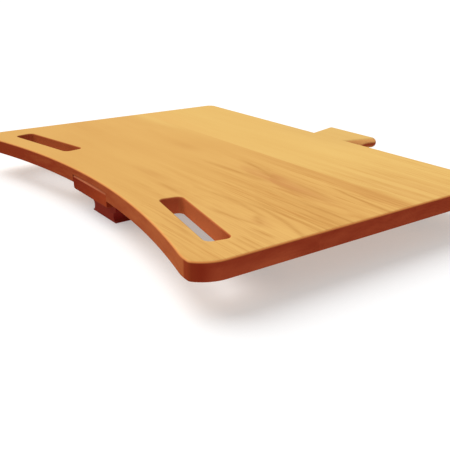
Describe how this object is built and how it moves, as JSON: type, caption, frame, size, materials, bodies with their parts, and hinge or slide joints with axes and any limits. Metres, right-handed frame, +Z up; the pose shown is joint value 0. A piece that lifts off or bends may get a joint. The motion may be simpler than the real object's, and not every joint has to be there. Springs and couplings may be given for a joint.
{
  "type": "handlebar desk tray",
  "caption": "Wooden work tray that lies on exercise bike handlebars, with a concave front edge, hand slots, and a sliding rail with a stop block underneath.",
  "frame": {"origin": "middle of the footprint, at the height of the stop block's underside", "axes": "+X to the user's right along the panel's width, +Y away from the user along the rail's travel, +Z up, square to the work surface"},
  "size_m": [0.608, 0.4974, 0.0567],
  "materials": {
    "panel_wood": "golden ring-porous hardwood under satin lacquer, edges stained red-brown",
    "panel_wood_light": "paler board of the same hardwood under satin lacquer, edges stained red-brown",
    "rail_wood": "same hardwood, satin lacquer, sides and ends stained red-brown",
    "block_wood": "same hardwood, stained red-brown, satin",
    "rubber": "matt ribbed rubber",
    "knob_plastic": "fine-textured moulded plastic",
    "steel": "bright zinc-plated",
    "brass": "turned, satin"
  },
  "bodies": {
    "tray": {"front_plank": "panel_wood", "middle_plank": "panel_wood", "rear_plank": "panel_wood_light", "front_insert": "brass", "rear_insert": "brass", "front_left_grip_strip": "rubber", "front_right_grip_strip": "rubber", "rear_left_grip_strip": "rubber", "rear_right_grip_strip": "rubber", "tab_pad": "rubber"},
    "rail": {"slide_rail": "rail_wood", "stop_block": "block_wood", "block_screws": "steel", "block_pad": "rubber"},
    "front_clamp": {"front_knob": "knob_plastic", "front_stud": "steel", "front_washer": "steel"},
    "rear_clamp": {"rear_knob": "knob_plastic", "rear_stud": "steel", "rear_washer": "steel"}
  },
  "joints": [
    {"name": "rail_slide", "type": "slide", "parent": "tray", "child": "rail", "axis": [0, 1, 0], "range_m": [0, 0.06]},
    {"name": "front_knob_turn", "type": "hinge", "parent": "tray", "child": "front_clamp", "pos_m": [0, -0.0523, 0.027], "axis": [0, 0, -1], "range_deg": [0, 180]},
    {"name": "rear_knob_turn", "type": "hinge", "parent": "tray", "child": "rear_clamp", "pos_m": [0, 0.0597, 0.027], "axis": [0, 0, -1], "range_deg": [0, 180]}
  ]
}
